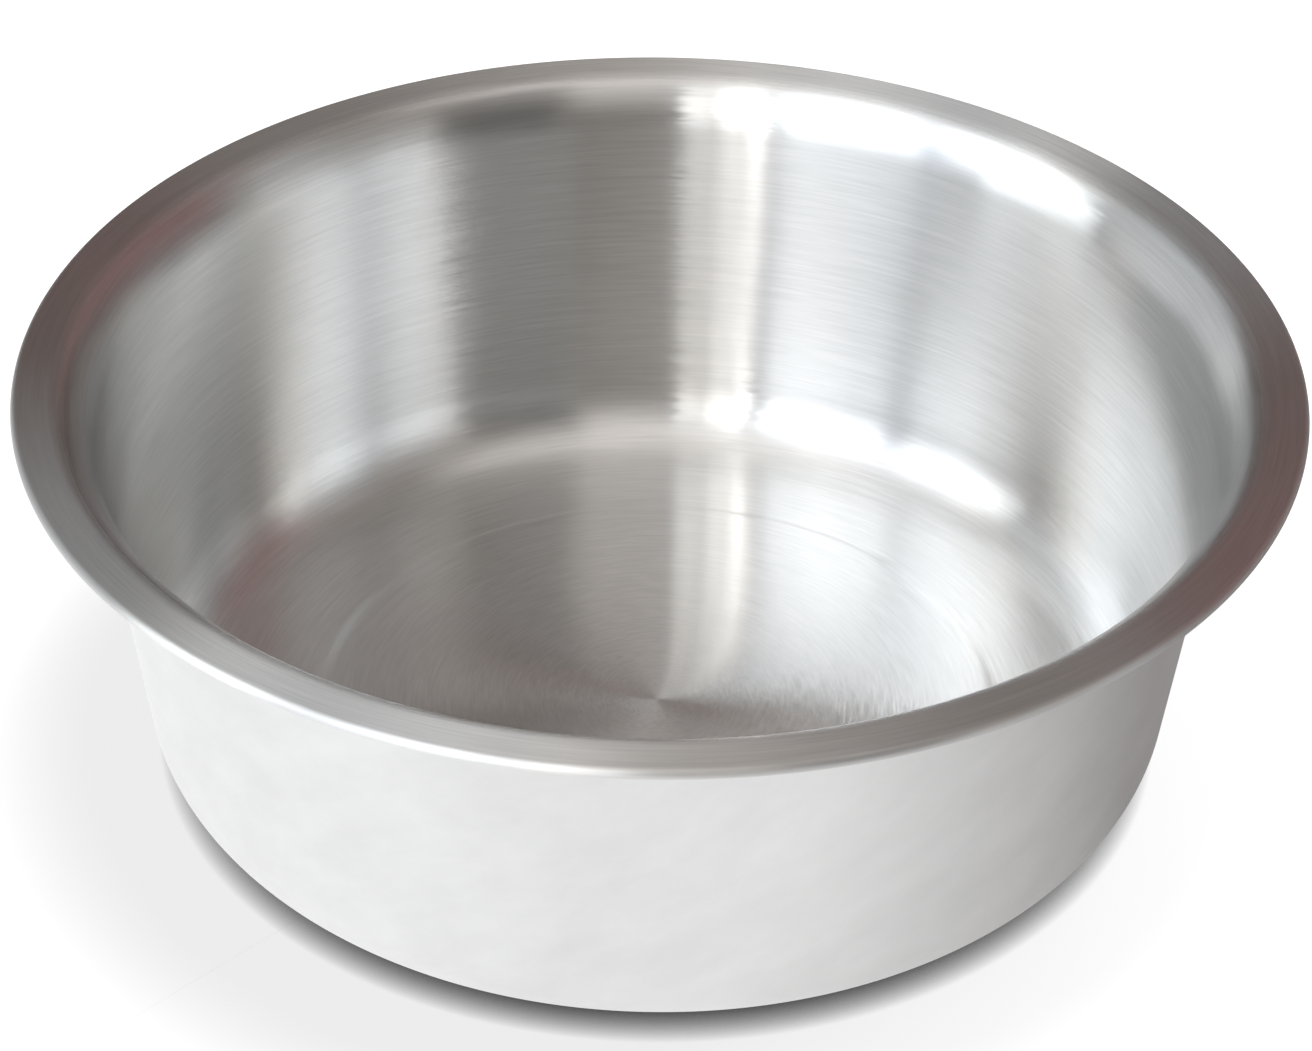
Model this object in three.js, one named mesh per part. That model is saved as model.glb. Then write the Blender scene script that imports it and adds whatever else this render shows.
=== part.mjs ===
// Pet food bowl: one round steel sheet, drawn into a bowl, with a flared flange and a curled edge.
// Millimetres, +Z up. The bowl's axis is Z and the table that it stands on is z = 0.
import * as THREE from 'three';

// Driving dimensions
const RIM_DIAMETER = 220; // over the curled edge
const HEIGHT = 73; // from the table to the top of the flange
const SHEET = 0.6; // thickness of the drawn sheet
const FLANGE_WIDTH = 11.8; // from the outside of the wall, run on up to the flange's top, to the curled edge
const WALL_DRAFT = 7; // degrees that the wall leans out from upright
const BASE_RADIUS = 14; // outside radius from the base into the wall
const LIP_RADIUS = 9; // radius of the upper face where the wall turns out into the flange
const CURL_DIAMETER = 2; // over the curled edge, across its section
const CURL_SWEEP = 240; // degrees that the edge is turned through
const PANEL_DIAMETER = 122; // middle of the step round the base's centre panel
const PANEL_RISE = 0.5; // how far the centre panel stands clear of the table
const STEP_RADIUS = 6; // mid-sheet radius of the two bends in that step

// Facets
const SEGMENTS = 72; // round the axis
const BEND_STEPS = 7; // along the base radius and the lip
const CURL_STEPS = 8; // along the curled edge
const STEP_STEPS = 2; // along each of the two bends in the step

const STEEL = { color: 0xc6c5c2, metalness: 1, roughness: 0.32 };

const UPWARD = Math.PI / 2;

// Mid-sheet line of the bowl in section, from the axis out to the edge: x is the radius, y the height.
function sheetMidline() {
  const half = SHEET / 2;
  const draft = THREE.MathUtils.degToRad(WALL_DRAFT);
  const wallNormal = Math.PI - draft;
  const wallOutside = (y) => RIM_DIAMETER / 2 - FLANGE_WIDTH - (HEIGHT - y) * Math.tan(draft);

  const panelHeight = PANEL_RISE + half;
  const stepAngle = Math.acos(1 - PANEL_RISE / (2 * STEP_RADIUS));
  const stepReach = STEP_RADIUS * Math.sin(stepAngle);
  const stepNormal = UPWARD - stepAngle;
  const stepTop = { x: PANEL_DIAMETER / 2 - stepReach, y: panelHeight - STEP_RADIUS };
  const stepFoot = { x: PANEL_DIAMETER / 2 + stepReach, y: half + STEP_RADIUS };

  const base = { x: wallOutside(BASE_RADIUS) - BASE_RADIUS / Math.cos(draft), y: BASE_RADIUS };
  const lipY = HEIGHT - LIP_RADIUS;
  const lip = { x: wallOutside(lipY) + (LIP_RADIUS - SHEET) / Math.cos(draft), y: lipY };
  const curlRadius = CURL_DIAMETER / 2;
  const curl = { x: RIM_DIAMETER / 2 - curlRadius, y: HEIGHT - curlRadius };
  const curlNormal = UPWARD - THREE.MathUtils.degToRad(CURL_SWEEP);

  return [
    { x: 0, y: panelHeight, normal: UPWARD },
    ...bend(stepTop, STEP_RADIUS, UPWARD, stepNormal, STEP_STEPS),
    ...bend(stepFoot, -STEP_RADIUS, stepNormal, UPWARD, STEP_STEPS).slice(1),
    ...bend(base, half - BASE_RADIUS, UPWARD, wallNormal, BEND_STEPS),
    ...bend(lip, LIP_RADIUS - half, wallNormal, UPWARD, BEND_STEPS),
    ...bend(curl, curlRadius - half, UPWARD, curlNormal, CURL_STEPS),
  ];
}

// Arc of the mid-sheet line about a centre. Its angle is that of the normal to the bowl's inside and upper face,
// so the radius is positive where that face bulges and negative where it is hollow.
function bend(centre, radius, from, to, steps) {
  const points = [];
  for (let i = 0; i <= steps; i += 1) {
    const normal = from + ((to - from) * i) / steps;
    points.push({ x: centre.x + radius * Math.cos(normal), y: centre.y + radius * Math.sin(normal), normal });
  }
  return points;
}

// One face of the sheet, at a distance from its mid-line. Rounding never carries it past the axis.
function sheetFace(midline, distance) {
  return midline.map(({ x, y, normal }) => {
    const radius = Math.max(0, x + distance * Math.cos(normal));
    return new THREE.Vector2(radius, y + distance * Math.sin(normal));
  });
}

// Section of the sheet: out along the under side, round the cut edge, and back along the upper side to the axis.
function bowlShell() {
  const midline = sheetMidline();
  const underSide = sheetFace(midline, -SHEET / 2);
  const upperSide = sheetFace(midline, SHEET / 2);
  const geometry = new THREE.LatheGeometry([...underSide, ...upperSide.reverse()], SEGMENTS);
  geometry.rotateX(UPWARD);
  const mesh = new THREE.Mesh(geometry, new THREE.MeshStandardMaterial(STEEL));
  mesh.name = 'bowl_shell';
  return mesh;
}

const bowl = new THREE.Group();
bowl.name = 'pet_food_bowl';
bowl.add(bowlShell());

export default bowl;
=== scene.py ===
import math

import bpy
from mathutils import Matrix, Vector


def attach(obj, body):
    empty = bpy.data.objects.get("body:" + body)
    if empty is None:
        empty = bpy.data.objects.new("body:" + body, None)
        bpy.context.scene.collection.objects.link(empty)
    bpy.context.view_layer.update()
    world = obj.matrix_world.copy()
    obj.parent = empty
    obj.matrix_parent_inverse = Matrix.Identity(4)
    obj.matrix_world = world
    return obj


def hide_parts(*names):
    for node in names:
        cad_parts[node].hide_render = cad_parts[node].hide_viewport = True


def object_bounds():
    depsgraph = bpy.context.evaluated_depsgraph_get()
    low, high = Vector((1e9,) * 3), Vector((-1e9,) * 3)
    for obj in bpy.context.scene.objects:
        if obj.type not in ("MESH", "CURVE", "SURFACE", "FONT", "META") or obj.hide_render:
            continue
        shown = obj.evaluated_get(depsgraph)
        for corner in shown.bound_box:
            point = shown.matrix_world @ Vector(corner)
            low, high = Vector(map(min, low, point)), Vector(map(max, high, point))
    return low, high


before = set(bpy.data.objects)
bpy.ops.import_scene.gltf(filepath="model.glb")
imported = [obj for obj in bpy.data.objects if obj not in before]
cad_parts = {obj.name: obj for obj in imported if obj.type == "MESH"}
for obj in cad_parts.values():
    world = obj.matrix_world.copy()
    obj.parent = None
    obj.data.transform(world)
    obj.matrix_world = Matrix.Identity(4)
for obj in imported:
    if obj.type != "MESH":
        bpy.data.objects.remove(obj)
cad_low, cad_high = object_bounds()

# The bowl's section, in metres
RIM_RADIUS = cad_high.x
HEIGHT = cad_high.z
SHEET = 0.0006
FLANGE_WIDTH = 0.0118
WALL_DRAFT = math.radians(7)
BASE_RADIUS = 0.014
FLARE_RADIUS = 0.014
FLARE_END = math.radians(135)
LIP_RADIUS = 0.005
CURL_RADIUS = 0.001
CURL_SWEEP = math.radians(240)
PANEL_RADIUS = 0.061
PANEL_RISE = 0.0005
STEP_RADIUS = 0.006
UPWARD = math.pi / 2

# Fineness of the mesh
SEGMENTS = 360
BEND_STEPS = 24
LIP_STEPS = 12
CURL_STEPS = 20
STEP_STEPS = 6
FLAT_STEPS = 12
SHORTEST_FLAT = 0.002
ON_AXIS = 0.000006

# The photograph's frame and camera
PHOTO_WIDTH = 1312
PHOTO_HEIGHT = 1051
FOCAL_PIXELS = 3957.7
RIM_CENTRE_PIXEL = (660.36, 371.04)
CAMERA_ELEVATION = math.radians(35.363)
CAMERA_ROLL = math.radians(0.676)
CAMERA_DISTANCE = 0.6758
SENSOR_WIDTH = 36

# Brushed steel. Places on it are ways along the sheet from the axis, in metres.
# Slopes are plain ratios.
WAY = "way"
STEEL = (0.80, 0.795, 0.785)
FLOOR_END = 0.072
WALL_START = 0.090
FLANGE_START = 0.1575
FLANGE_FULL = 0.1605
FLOOR_GROOVES = 0.10
WALL_GROOVES = 0.26
GROOVE_SIDES = 3
TAIL_END = 0.05
WALL_ROUGHNESS = 0.19
STEEP_TILT = 1
STEEP_ROUGHNESS = 0.285
FLANGE_ROUGHNESS = 0.36
QUARTER_TURN = 0.25
LINE_TURNS = 40
LINE_PITCH = 0.00045
LINE_SLOPE = 0.015
LINE_GLOSS = 0.005
LINE_TONE = (0.91, 1.09)
WANDER_TURNS = 50
WANDER_PITCH = 0.0004
WANDER_SLOPE = 0.014
STREAK_DETAIL = 2

# Satin steel
SATIN = (0.84, 0.84, 0.84)
WIPE_LEAN = math.radians(35)
WIPE_SCALE = (70, 70, 130)
WIPE_DETAIL = 4
WIPE_BREAKUP = 0.6
WIPE_GLOSS = (0.30, 0.42)
WIPE_TONE = (0.94, 1.045)

# Usual ends of a noise, and the places of the colours among a Mix node's sockets
NOISE_LOW = 0.2
NOISE_HIGH = 0.8
MIX_FIRST = 6
MIX_SECOND = 7
MIX_RESULT = 2

# Floor and lamp
FLOOR_REACH = 30
FLOOR_COLOUR = (0.80, 0.80, 0.80)
FLOOR_GLOW = 0.72
FLOOR_MIRRORED = 1.0
FLOOR_SKY = 0.15
SHADOW_NEAR = 0.10
SHADOW_END = 0.135
# Reach and depth of the painted contact shadow round the bowl's base
CONTACT_REACH = 0.005
CONTACT_DEPTH = 1.2
CONTACT_SAMPLES = 8
LAMP_PLACE = (0.78, 0.48, 1.31)
LAMP_SIZE = 1.5
LAMP_POWER = 8.5

# Dark mat, a painted shade that only the bowl's outer face mirrors, with its headings from +X towards +Y
MAT_REACH = 0.6
MAT_LIFT = 0.0005
# Glow of the mat: dark painted shade that the bowl's outer face mirrors
MAT_SHADE_GLOW = (0.31, 0.295, 0.29, 1)
MAT_EDGE = math.radians(-130)
MAT_FAINT = math.radians(-95)
MAT_NEAR = math.radians(-70)
MAT_FULL = math.radians(-8)
MAT_TURN = math.radians(40)
MAT_FAR = math.radians(90)
MAT_FAINT_SHARE = 0.14
MAT_CLOSE = 0.085
MAT_AWAY = 0.13
MAT_CLOSE_TURN = math.radians(14)

# Bands of the room, in degrees over the floor: lowest, highest and softness
CEILING = (66, 100, 8)
UPPER = (46, 64, 6)
MIDDLE = (18, 46, 7)
LOWER = (-30, 18, 7)
WINDOW = (16, 46, 7)
UNDER_WINDOW = (-30, 16, 7)
TALL_BAR = (-30, 52, 9)
BAR = (-30, 38, 9)
SHORT_BAR = (-30, 36, 9)

# The room that the bowl mirrors: west and east edge, band, colour and softness sideways.
# Degrees by the compass, from +Y towards +X. A later patch covers an earlier one.
ROOM = (0.03, 0.029, 0.027, 1)
PATCHES = [
    (-5, 365, CEILING, (0.96, 0.92, 0.88), 2),
    (-50, 50, UPPER, (0.37, 0.34, 0.32), 4),
    (50, 138, UPPER, (0.25, 0.22, 0.20), 4),
    (136, 157, UPPER, (0.18, 0.175, 0.17), 3),
    (157, 182, UPPER, (1.10, 1.06, 1.02), 3),
    (182, 222, UPPER, (1.15, 1.2, 1.25), 3),
    (222, 266, UPPER, (1.95, 2.0, 2.05), 3),
    (266, 312, UPPER, (0.64, 0.62, 0.60), 4),
    (20, 58, LOWER, (0.06, 0.06, 0.05), 4),
    (58, 94, LOWER, (0.09, 0.09, 0.08), 3),
    (15, 80, MIDDLE, (0.26, 0.15, 0.15), 3),
    (80, 104, MIDDLE, (0.42, 0.42, 0.42), 2),
    (104, 133, MIDDLE, (0.35, 0.33, 0.31), 1),
    (94, 133, LOWER, (0.5, 0.5, 0.5), 1),
    (133, 157, LOWER, (0, 0, 0), 1),
    (157, 183, LOWER, (0.03, 0.025, 0.02), 2),
    (133, 157, MIDDLE, (0, 0, 0), 1),
    (157, 183, MIDDLE, (0.18, 0.16, 0.14), 1),
    (276, 300, MIDDLE, (0.68, 0.71, 0.73), 3),
    (300, 326, MIDDLE, (0.68, 0.72, 0.75), 3),
    (276, 326, LOWER, (0.45, 0.45, 0.46), 2),
    (326, 375, LOWER, (0.07, 0.06, 0.06), 3),
    (326, 358, MIDDLE, (0.13, 0.115, 0.105), 3),
    (358, 375, MIDDLE, (0.20, 0.17, 0.16), 3),
    (184, 238, UNDER_WINDOW, (1.7, 1.85, 1.95), 2),
    (247, 274, UNDER_WINDOW, (2.3, 2.45, 2.55), 2),
    (184, 197, WINDOW, (2.0, 1.95, 1.85), 1),
    (204.5, 238, WINDOW, (2.9, 3.1, 3.3), 1),
    (207, 224, WINDOW, (3.4, 3.6, 3.8), 2),
    (201.2, 203.6, BAR, (0.9, 0.95, 1.0), 0.5),
    (197.7, 200.6, TALL_BAR, (6.5, 6.5, 6.4), 0.5),
    (195.4, 196.9, BAR, (1.2, 1.2, 1.15), 0.5),
    (193, 195, TALL_BAR, (3.4, 3.4, 3.3), 0.5),
    (189, 190.5, BAR, (0.9, 0.88, 0.85), 0.5),
    (259, 274, WINDOW, (3.35, 3.45, 3.5), 2),
    (240, 259, WINDOW, (2.8, 3.0, 3.2), 2),
    (250, 262, WINDOW, (3.7, 3.9, 4.1), 2),
    (233.5, 238, SHORT_BAR, (1.0, 1.1, 1.3), 0.7),
]


def bend(centre, radius, start, end, steps):
    """Points of the mid-sheet line on an arc, each with the angle of the normal to the upper face."""
    points = []
    for i in range(steps + 1):
        normal = start + (end - start) * i / steps
        out = centre[0] + radius * math.cos(normal)
        height = centre[1] + radius * math.sin(normal)
        points.append((out, height, normal))
    return points


def straight(start, end, steps):
    """Points between two points of the mid-sheet line, without its ends."""
    points = []
    for i in range(1, steps):
        share = i / steps
        points.append(tuple(a + (b - a) * share for a, b in zip(start, end)))
    return points


def sheet_midline():
    """Mid-sheet line from the axis out to the curled edge: radius, height and the normal's angle."""
    half = SHEET / 2
    wall_normal = math.pi - WALL_DRAFT

    def wall_outside(z):
        return RIM_RADIUS - FLANGE_WIDTH - (HEIGHT - z) * math.tan(WALL_DRAFT)

    panel_height = PANEL_RISE + half
    step_angle = math.acos(1 - PANEL_RISE / (2 * STEP_RADIUS))
    step_reach = STEP_RADIUS * math.sin(step_angle)
    step_normal = UPWARD - step_angle
    step_top = (PANEL_RADIUS - step_reach, panel_height - STEP_RADIUS)
    step_foot = (PANEL_RADIUS + step_reach, half + STEP_RADIUS)
    base = (wall_outside(BASE_RADIUS) - BASE_RADIUS / math.cos(WALL_DRAFT), BASE_RADIUS)
    tighter = FLARE_RADIUS - LIP_RADIUS
    flare_z = HEIGHT - LIP_RADIUS - tighter * math.sin(FLARE_END)
    flare = (wall_outside(flare_z) + (FLARE_RADIUS - SHEET) / math.cos(WALL_DRAFT), flare_z)
    lip = (flare[0] + tighter * math.cos(FLARE_END), HEIGHT - LIP_RADIUS)
    curl = (RIM_RADIUS - CURL_RADIUS, HEIGHT - CURL_RADIUS)

    bends = [
        bend(step_top, STEP_RADIUS, UPWARD, step_normal, STEP_STEPS),
        bend(step_foot, -STEP_RADIUS, step_normal, UPWARD, STEP_STEPS)[1:],
        bend(base, half - BASE_RADIUS, UPWARD, wall_normal, BEND_STEPS),
        bend(flare, FLARE_RADIUS - half, wall_normal, FLARE_END, LIP_STEPS),
        bend(lip, LIP_RADIUS - half, FLARE_END, UPWARD, LIP_STEPS)[1:],
        bend(curl, CURL_RADIUS - half, UPWARD, UPWARD - CURL_SWEEP, CURL_STEPS),
    ]
    line = [(0.0, panel_height, UPWARD)]
    for points in bends:
        if math.dist(line[-1][:2], points[0][:2]) > SHORTEST_FLAT:
            line += straight(line[-1], points[0], FLAT_STEPS)
        line += points
    return line


def sheet_faces():
    """Section of the sheet: out along the under face, and back along the upper face to the axis.
    Each point is its radius, its height and its way along the sheet from the axis."""
    line = sheet_midline()
    ways = [0.0]
    for a, b in zip(line, line[1:]):
        ways.append(ways[-1] + math.dist(a[:2], b[:2]))

    def face(distance):
        points = []
        for (radius, height, normal), way in zip(line, ways):
            out = max(0.0, radius + distance * math.cos(normal))
            points.append((out, height + distance * math.sin(normal), way))
        return points

    return face(-SHEET / 2), face(SHEET / 2)[::-1]


def revolve(outline, name):
    """Closed mesh of a section that starts and ends on the axis, turned about Z."""
    vertices = []
    ways = []
    rows = []
    for radius, height, way in outline:
        first = len(vertices)
        count = 1 if radius < ON_AXIS else SEGMENTS
        for k in range(count):
            turn = 2 * math.pi * k / SEGMENTS
            vertices.append((radius * math.cos(turn), radius * math.sin(turn), height))
            ways.append(way)
        rows.append([first + k % count for k in range(SEGMENTS)])
    faces = []
    for a, b in zip(rows, rows[1:]):
        for k in range(SEGMENTS):
            n = (k + 1) % SEGMENTS
            faces.append(list(dict.fromkeys((a[k], a[n], b[n], b[k]))))
    mesh = bpy.data.meshes.new(name)
    mesh.from_pydata(vertices, [], faces)
    mesh.shade_smooth()
    mesh.attributes.new(WAY, "FLOAT", "POINT").data.foreach_set("value", ways)
    piece = bpy.data.objects.new(name, mesh)
    bpy.context.scene.collection.objects.link(piece)
    return piece


def add(tree, kind, **settings):
    """A new node with its settings."""
    node = tree.nodes.new("ShaderNode" + kind)
    for key, value in settings.items():
        setattr(node, key, value)
    return node


def feed(tree, socket, value):
    """Gives an input a link or a plain value."""
    if isinstance(value, bpy.types.NodeSocket):
        tree.links.new(value, socket)
    else:
        socket.default_value = value


def calc(tree, operation, *values):
    """Output of a Math node."""
    node = add(tree, "Math", operation=operation)
    for socket, value in zip(node.inputs, values):
        feed(tree, socket, value)
    return node.outputs["Value"]


def calc_vector(tree, operation, *values, scale=None):
    """Output of a Vector Math node."""
    node = add(tree, "VectorMath", operation=operation)
    for socket, value in zip(node.inputs, values):
        feed(tree, socket, value)
    if scale is not None:
        feed(tree, node.inputs["Scale"], scale)
    return node.outputs["Vector"]


def noise(tree, place, detail, roughness=0.5):
    """Noise of about 0 to 1 round 0.5, with one bump to each unit of the place."""
    node = add(tree, "TexNoise")
    feed(tree, node.inputs["Vector"], place)
    node.inputs["Scale"].default_value = 1
    node.inputs["Detail"].default_value = detail
    node.inputs["Roughness"].default_value = roughness
    return node.outputs["Fac"]


def spread(tree, value, low, high):
    """A noise round 0.5 turned into a value round the middle of low and high."""
    node = add(tree, "MapRange", clamp=False)
    feed(tree, node.inputs["Value"], value)
    node.inputs["From Min"].default_value = NOISE_LOW
    node.inputs["From Max"].default_value = NOISE_HIGH
    node.inputs["To Min"].default_value = low
    node.inputs["To Max"].default_value = high
    return node.outputs["Result"]


def ramp(tree, value, start, end, kind="SMOOTHSTEP"):
    """Step from 0 at start to 1 at end."""
    node = add(tree, "MapRange", interpolation_type=kind)
    feed(tree, node.inputs["Value"], value)
    node.inputs["From Min"].default_value = start
    node.inputs["From Max"].default_value = end
    return node.outputs["Result"]


def tinted(tree, value, colour):
    """A colour made lighter or darker by a factor."""
    return calc_vector(tree, "SCALE", colour, scale=value)


def mixed(tree, first, second, share):
    """Two shaders, with the second one's share."""
    node = add(tree, "MixShader")
    feed(tree, node.inputs["Fac"], share)
    feed(tree, node.inputs[1], first)
    feed(tree, node.inputs[2], second)
    return node.outputs["Shader"]


def mixed_colour(tree, first, second, share):
    """Two colours, with the second one's share."""
    node = add(tree, "Mix", data_type="RGBA")
    feed(tree, node.inputs["Factor"], share)
    feed(tree, node.inputs[MIX_FIRST], first)
    feed(tree, node.inputs[MIX_SECOND], second)
    return node.outputs[MIX_RESULT]


def off_axis(tree):
    """Distance from the bowl's axis of what lies on the floor."""
    node = add(tree, "VectorMath", operation="LENGTH")
    feed(tree, node.inputs["Vector"], add(tree, "NewGeometry").outputs["Position"])
    return node.outputs["Value"]


def new_material(name):
    """An empty material with its tree and its output."""
    material = bpy.data.materials.new(name)
    material.use_nodes = True
    tree = material.node_tree
    tree.nodes.clear()
    out = add(tree, "OutputMaterial")
    return material, tree, out.inputs["Surface"]


def streaks(tree, turns, pitch):
    """Noise drawn out round the axis: so many streaks in a turn, and a pitch in metres along the sheet."""
    place = add(tree, "TexCoord").outputs["Object"]
    level = calc_vector(tree, "MULTIPLY", place, (1, 1, 0))
    heading = calc_vector(tree, "NORMALIZE", level)
    circle = calc_vector(tree, "SCALE", heading, scale=turns / (2 * math.pi))
    way = add(tree, "Attribute", attribute_name=WAY).outputs["Fac"]
    rise = add(tree, "CombineXYZ")
    feed(tree, rise.inputs["Z"], calc(tree, "DIVIDE", way, pitch))
    return noise(tree, calc_vector(tree, "ADD", circle, rise.outputs["Vector"]), STREAK_DETAIL)


def groove_tilts():
    """Slopes of equal shares of the grooves, with the long tails of worn metal.
    The level share is the last, so that it stands first in the finished mix."""
    tilts = []
    for i in range(1, GROOVE_SIDES + 1):
        share = 2 * i / (2 * GROOVE_SIDES + 1)
        tilt = share / math.sqrt(1 + TAIL_END - share * share)
        tilts += [-tilt, tilt]
    return tilts + [0]


def tilted_normal(tree, across, along):
    """The surface's normal, tilted by slopes across and along the brush lines."""
    normal = add(tree, "NewGeometry").outputs["Normal"]
    round_axis = add(tree, "Tangent", direction_type="RADIAL", axis="Z").outputs["Tangent"]
    up_sheet = calc_vector(tree, "CROSS_PRODUCT", normal, round_axis)
    tilt = calc_vector(tree, "SCALE", up_sheet, scale=across)
    turn = calc_vector(tree, "SCALE", round_axis, scale=along)
    slope = calc_vector(tree, "ADD", tilt, turn)
    return calc_vector(tree, "NORMALIZE", calc_vector(tree, "ADD", normal, slope))


def groove_shine(tree, normal, roughness, colour):
    """Shine of the grooves that lean one way, drawn out across the brush lines."""
    shader = add(tree, "BsdfPrincipled")
    shader.inputs["Metallic"].default_value = 1
    shader.inputs["Anisotropic"].default_value = 1
    shader.inputs["Anisotropic Rotation"].default_value = QUARTER_TURN
    tangent = add(tree, "Tangent", direction_type="RADIAL", axis="Z")
    feed(tree, shader.inputs["Tangent"], tangent.outputs["Tangent"])
    feed(tree, shader.inputs["Normal"], normal)
    feed(tree, shader.inputs["Roughness"], roughness)
    feed(tree, shader.inputs["Base Color"], colour)
    return shader.outputs["BSDF"]


def brushed_steel():
    """Inside and flange: fine lines round the axis, coarser on the wall than on the floor."""
    material, tree, surface = new_material("steel_brushed")
    way = add(tree, "Attribute", attribute_name=WAY).outputs["Fac"]
    coarse = ramp(tree, way, FLOOR_END, WALL_START)
    reach = calc(tree, "MULTIPLY_ADD", coarse, WALL_GROOVES - FLOOR_GROOVES, FLOOR_GROOVES)
    flange = ramp(tree, way, FLANGE_START, FLANGE_FULL)
    lines = streaks(tree, LINE_TURNS, LINE_PITCH)
    waves = spread(tree, lines, -LINE_SLOPE, LINE_SLOPE)
    uneven = spread(tree, lines, -LINE_GLOSS, LINE_GLOSS)
    colour = tinted(tree, spread(tree, lines, *LINE_TONE), STEEL)
    wander = spread(tree, streaks(tree, WANDER_TURNS, WANDER_PITCH), -WANDER_SLOPE, WANDER_SLOPE)
    shine = None
    for count, tilt in enumerate(groove_tilts()):
        slope = calc(tree, "MULTIPLY_ADD", reach, tilt, waves)
        plain = STEEP_ROUGHNESS if abs(tilt) > STEEP_TILT else WALL_ROUGHNESS
        gloss = calc(tree, "MULTIPLY_ADD", flange, FLANGE_ROUGHNESS - plain, plain)
        gloss = calc(tree, "ADD", gloss, uneven)
        lobe = groove_shine(tree, tilted_normal(tree, slope, wander), gloss, colour)
        shine = mixed(tree, lobe, shine, count / (count + 1)) if shine else lobe
    feed(tree, surface, shine)
    return material


def satin_steel():
    """Outside and underneath: a smooth satin polish with cloudy wipe marks."""
    material, tree, surface = new_material("steel_satin")
    shader = add(tree, "BsdfPrincipled")
    shader.inputs["Metallic"].default_value = 1
    leaning = add(tree, "VectorRotate", rotation_type="AXIS_ANGLE")
    feed(tree, leaning.inputs["Vector"], add(tree, "TexCoord").outputs["Object"])
    leaning.inputs["Axis"].default_value = (0, 1, 0)
    leaning.inputs["Angle"].default_value = WIPE_LEAN
    drawn_out = calc_vector(tree, "MULTIPLY", leaning.outputs["Vector"], WIPE_SCALE)
    wipes = noise(tree, drawn_out, WIPE_DETAIL, WIPE_BREAKUP)
    feed(tree, shader.inputs["Roughness"], spread(tree, wipes, *WIPE_GLOSS))
    feed(tree, shader.inputs["Base Color"], tinted(tree, spread(tree, wipes, *WIPE_TONE), SATIN))
    feed(tree, surface, shader.outputs["BSDF"])
    return material


def make_bowl():
    """The bowl: satin under and outside, brushed on the curled edge, the flange and the inside."""
    under, upper = sheet_faces()
    bowl = revolve(under + upper, "bowl_sheet")
    bowl.data.materials.append(brushed_steel())
    bowl.data.materials.append(satin_steel())
    satin_faces = (len(under) - 1 - CURL_STEPS) * SEGMENTS
    for polygon in bowl.data.polygons[:satin_faces]:
        polygon.material_index = 1
    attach(bowl, "root")
    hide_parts("bowl_shell")
    bowl.visible_diffuse = False


def flat_card(name, centre, across, upright):
    """A flat rectangle for the stage, given by its middle and two half sides."""
    a, b = Vector(across), Vector(upright)
    middle = Vector(centre)
    mesh = bpy.data.meshes.new(name)
    mesh.from_pydata([middle - a - b, middle + a - b, middle + a + b, middle - a + b], [], [(0, 1, 2, 3)])
    card = bpy.data.objects.new(name, mesh)
    bpy.context.scene.collection.objects.link(card)
    return card


def floor_white():
    """White that keeps the bowl's shadow, with a painted contact shadow round its base. What it lacks to
    white is added where the camera sees it, less of it close round the bowl.
    """
    material, tree, surface = new_material("floor_white")
    path = add(tree, "LightPath").outputs
    mirrored = calc(tree, "MAXIMUM", path["Is Glossy Ray"], path["Is Transmission Ray"])
    # Painted contact shadow: ambient occlusion darkens the floor and its added white close round the
    # bowl's base
    painted_contact_shadow = add(tree, "AmbientOcclusion", samples=CONTACT_SAMPLES)
    painted_contact_shadow.inputs["Distance"].default_value = CONTACT_REACH
    open_share = calc(tree, "POWER", painted_contact_shadow.outputs["AO"], CONTACT_DEPTH)
    diffuse = add(tree, "BsdfDiffuse")
    lit = calc(tree, "MULTIPLY", open_share, calc(tree, "SUBTRACT", 1, mirrored))
    feed(tree, diffuse.inputs["Color"], tinted(tree, lit, FLOOR_COLOUR))
    clear = ramp(tree, off_axis(tree), SHADOW_NEAR, SHADOW_END)
    whole = calc(tree, "MULTIPLY_ADD", clear, 1 - FLOOR_GLOW, FLOOR_GLOW)
    seen = calc(tree, "MULTIPLY", path["Is Camera Ray"], whole)
    seen = calc(tree, "MULTIPLY", seen, open_share)
    glow = add(tree, "Emission")
    feed(tree, glow.inputs["Strength"], calc(tree, "MULTIPLY_ADD", mirrored, FLOOR_MIRRORED, seen))
    both = add(tree, "AddShader")
    feed(tree, both.inputs[0], diffuse.outputs["BSDF"])
    feed(tree, both.inputs[1], glow.outputs["Emission"])
    feed(tree, surface, both.outputs["Shader"])
    material.cycles.emission_sampling = "NONE"
    return material


def make_floor():
    """Wide white floor that the bowl stands on."""
    floor = flat_card("floor", (0, 0, 0), (FLOOR_REACH, 0, 0), (0, FLOOR_REACH, 0))
    floor.data.materials.append(floor_white())


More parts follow.
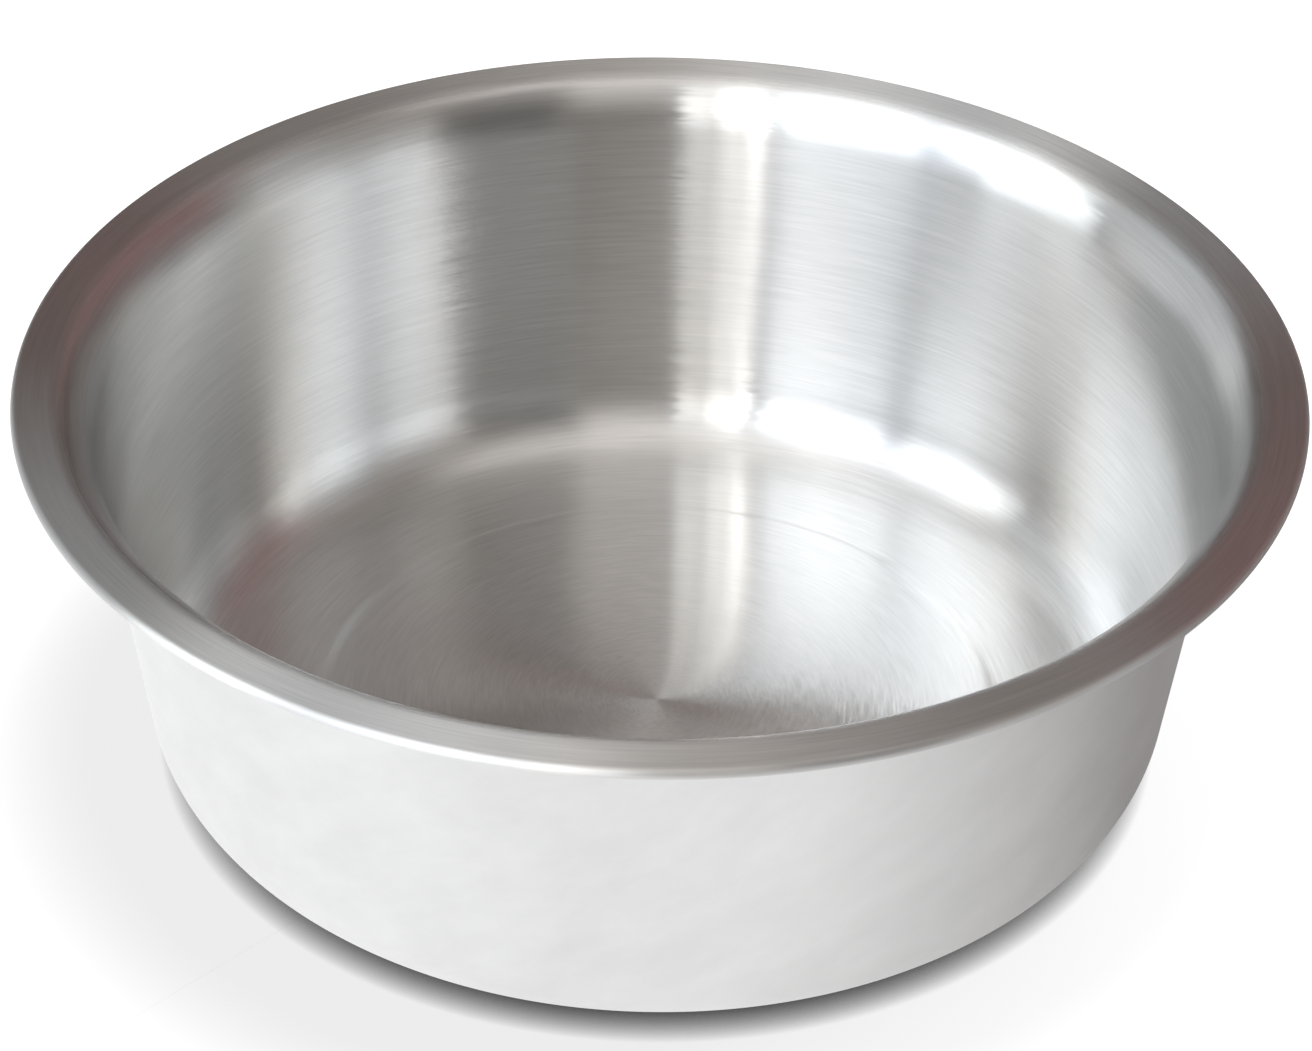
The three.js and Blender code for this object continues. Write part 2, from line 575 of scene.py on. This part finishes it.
def mat_painted_shade():
    """Painted shade in the bowl's reflection: dark on the right of the bowl, a little further round it
    close by, and faint in front of it.
    """
    material, tree, surface = new_material("mat_painted_shade")
    parts = add(tree, "SeparateXYZ")
    feed(tree, parts.inputs["Vector"], add(tree, "NewGeometry").outputs["Position"])
    heading = calc(tree, "ARCTAN2", parts.outputs["Y"], parts.outputs["X"])
    close = ramp(tree, off_axis(tree), MAT_AWAY, MAT_CLOSE)
    turned = calc(tree, "MULTIPLY_ADD", close, MAT_CLOSE_TURN, heading)
    near = ramp(tree, turned, MAT_NEAR, MAT_FULL, "LINEAR")
    dark = calc(tree, "MULTIPLY", near, 1 - MAT_FAINT_SHARE)
    faint = calc(tree, "MULTIPLY", ramp(tree, heading, MAT_EDGE, MAT_FAINT), MAT_FAINT_SHARE)
    far = ramp(tree, heading, MAT_FAR, MAT_TURN)
    share = calc(tree, "MULTIPLY", calc(tree, "ADD", dark, faint), far)
    clear = add(tree, "BsdfTransparent")
    # The mat's glow is painted shade, seen only in reflections
    glow = add(tree, "Emission")
    glow.inputs["Color"].default_value = MAT_SHADE_GLOW
    feed(tree, surface, mixed(tree, clear.outputs["BSDF"], glow.outputs["Emission"], share))
    material.cycles.emission_sampling = "NONE"
    return material


def make_mat():
    """Dark mat just over the floor, seen only in the bowl's outer face: painted shade mirrored on its dark
    right side.
    """
    mat = flat_card("mat", (0, 0, MAT_LIFT), (MAT_REACH, 0, 0), (0, MAT_REACH, 0))
    mat.data.materials.append(mat_painted_shade())
    mat.visible_camera = False
    mat.visible_diffuse = False
    mat.visible_shadow = False
    mat.visible_transmission = False


def make_lamp():
    """Soft lamp at the back right, which lights the floor and lays the bowl's shadow to the front left."""
    data = bpy.data.lights.new("lamp", "AREA")
    data.size = LAMP_SIZE
    data.energy = LAMP_POWER
    lamp = bpy.data.objects.new("lamp", data)
    lamp.location = LAMP_PLACE
    lamp.rotation_euler = Vector(LAMP_PLACE).to_track_quat("Z", "Y").to_euler()
    lamp.visible_glossy = False
    bpy.context.scene.collection.objects.link(lamp)


def make_camera():
    """The photograph's camera: as high, as far and as much on its side."""
    pitch = CAMERA_ELEVATION
    forward = Vector((0, math.cos(pitch), -math.sin(pitch)))
    right = Vector((1, 0, 0))
    up = Vector((0, math.sin(pitch), math.cos(pitch)))
    image_right = math.cos(CAMERA_ROLL) * right + math.sin(CAMERA_ROLL) * up
    image_up = math.cos(CAMERA_ROLL) * up - math.sin(CAMERA_ROLL) * right
    metres_per_pixel = CAMERA_DISTANCE / FOCAL_PIXELS
    aside = (RIM_CENTRE_PIXEL[0] - PHOTO_WIDTH / 2) * metres_per_pixel
    above = (PHOTO_HEIGHT / 2 - RIM_CENTRE_PIXEL[1]) * metres_per_pixel
    rim_centre = Vector((0, 0, HEIGHT - CURL_RADIUS))
    place = rim_centre - CAMERA_DISTANCE * forward - aside * image_right - above * image_up
    data = bpy.data.cameras.new("camera")
    data.sensor_width = SENSOR_WIDTH
    data.lens = FOCAL_PIXELS / PHOTO_WIDTH * SENSOR_WIDTH
    camera = bpy.data.objects.new("camera", data)
    axes = Matrix((image_right, image_up, -forward)).transposed()
    camera.matrix_world = Matrix.Translation(place) @ axes.to_4x4()
    bpy.context.scene.collection.objects.link(camera)
    bpy.context.scene.camera = camera


def sky_patch(tree, below, west, east, band, colour, side):
    """A soft-edged patch of the room over what lies below it."""
    lowest, highest, soft = band
    turned = add(tree, "VectorRotate", rotation_type="Z_AXIS")
    feed(tree, turned.inputs["Vector"], add(tree, "TexCoord").outputs["Generated"])
    turned.inputs["Angle"].default_value = math.radians((west + east) / 2)
    parts = add(tree, "SeparateXYZ")
    feed(tree, parts.inputs["Vector"], turned.outputs["Vector"])
    compass = calc(tree, "ARCTAN2", parts.outputs["X"], parts.outputs["Y"])
    off = calc(tree, "DEGREES", calc(tree, "ABSOLUTE", compass))
    height = calc(tree, "DEGREES", calc(tree, "ARCSINE", parts.outputs["Z"]))
    half = (east - west) / 2
    share = ramp(tree, off, half + side, half - side)
    share = calc(tree, "MULTIPLY", share, ramp(tree, height, lowest - soft, lowest + soft))
    share = calc(tree, "MULTIPLY", share, ramp(tree, height, highest + soft, highest - soft))
    return mixed_colour(tree, below, (*colour, 1), share)


def make_world():
    """A room with one wide window to the left behind the camera. The floor sees it as an even sky."""
    world = bpy.data.worlds.new("studio")
    world.use_nodes = True
    world.cycles.sampling_method = "NONE"
    bpy.context.scene.world = world
    tree = world.node_tree
    tree.nodes.clear()
    sky = ROOM
    for patch in PATCHES:
        sky = sky_patch(tree, sky, *patch)
    even = (FLOOR_SKY, FLOOR_SKY, FLOOR_SKY, 1)
    diffuse_ray = add(tree, "LightPath").outputs["Is Diffuse Ray"]
    background = add(tree, "Background")
    feed(tree, background.inputs["Color"], mixed_colour(tree, sky, even, diffuse_ray))
    out = add(tree, "OutputWorld")
    feed(tree, out.inputs["Surface"], background.outputs["Background"])


make_bowl()
make_floor()
make_mat()
make_lamp()
make_camera()
make_world()
bpy.context.scene.view_settings.view_transform = "Standard"
